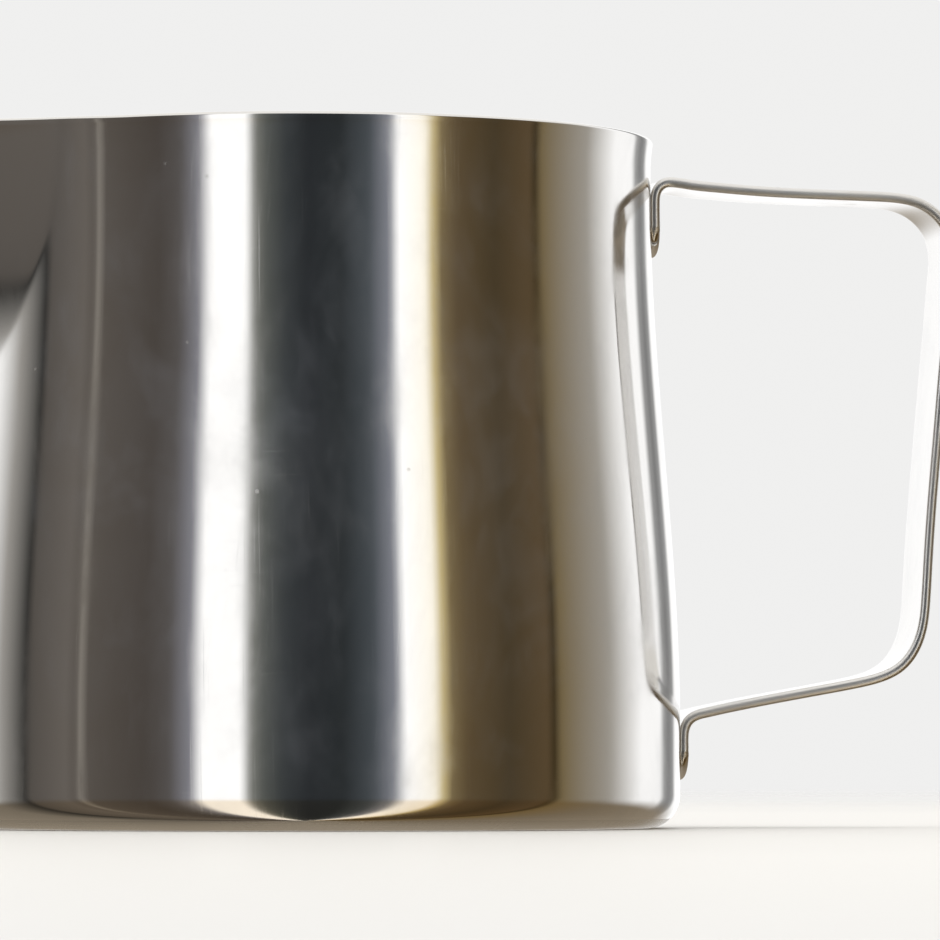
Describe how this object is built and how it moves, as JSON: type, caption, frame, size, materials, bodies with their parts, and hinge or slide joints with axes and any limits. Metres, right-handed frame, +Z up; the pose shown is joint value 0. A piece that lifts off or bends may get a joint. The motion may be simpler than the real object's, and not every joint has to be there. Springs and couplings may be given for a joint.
{
  "type": "milk frothing pitcher",
  "caption": "Open polished steel pitcher with a slightly bell-shaped wall, a creased pouring spout and a bent strap handle, for steaming and pouring milk.",
  "frame": {"origin": "centre of the base, on the plane of the flat foot ring that rests on the table", "axes": "+Z up through the open mouth, +X towards the strap handle, -X towards the tip of the pouring spout; the XZ plane is the plane of symmetry"},
  "size_m": [0.1473, 0.0998, 0.0932],
  "materials": {
    "body_steel": "mirror polished stainless steel outside, satin inside",
    "handle_steel": "mirror polished stainless steel strip with rounded edges",
    "weld_steel": "fused spot-weld nuggets between strip and wall"
  },
  "bodies": {
    "root": {"body_shell": "body_steel", "handle_strap": "handle_steel", "upper_tab_spot_welds": "weld_steel", "lower_tab_spot_welds": "weld_steel"}
  },
  "joints": []
}
